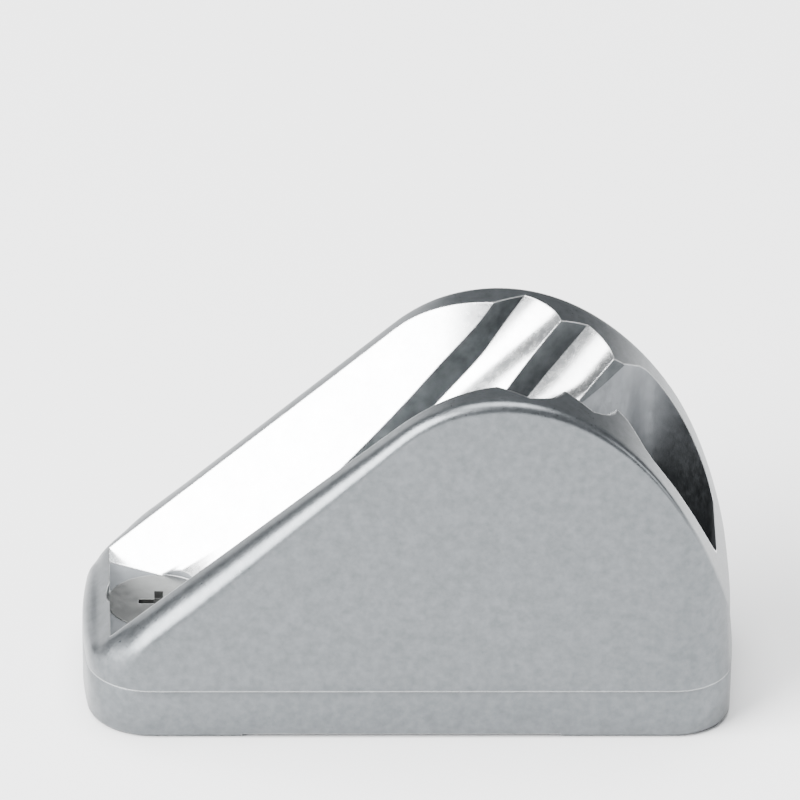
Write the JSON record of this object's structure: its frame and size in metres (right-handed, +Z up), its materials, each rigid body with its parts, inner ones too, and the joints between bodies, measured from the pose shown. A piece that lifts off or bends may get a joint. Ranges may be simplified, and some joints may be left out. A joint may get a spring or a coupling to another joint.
{
  "type": "fixed jam cleat",
  "caption": "Fixed jam cleat for thin rope: a one-piece satin cast body whose V-groove climbs to slanting gripping teeth, held down by countersunk screws.",
  "frame": {"origin": "middle of the base, on the face that meets the deck, half way between the two screws", "axes": "+X along the rope from the low pad to the tail, +Y across the rope, +Z up off the deck"},
  "size_m": [0.045, 0.0176, 0.0345],
  "materials": {
    "cast_aluminium": "satin die-cast",
    "stainless_screw": "polished stainless"
  },
  "bodies": {
    "root": {"cleat_body": "cast_aluminium", "pad_screw": "stainless_screw", "tail_screw": "stainless_screw"}
  },
  "joints": []
}
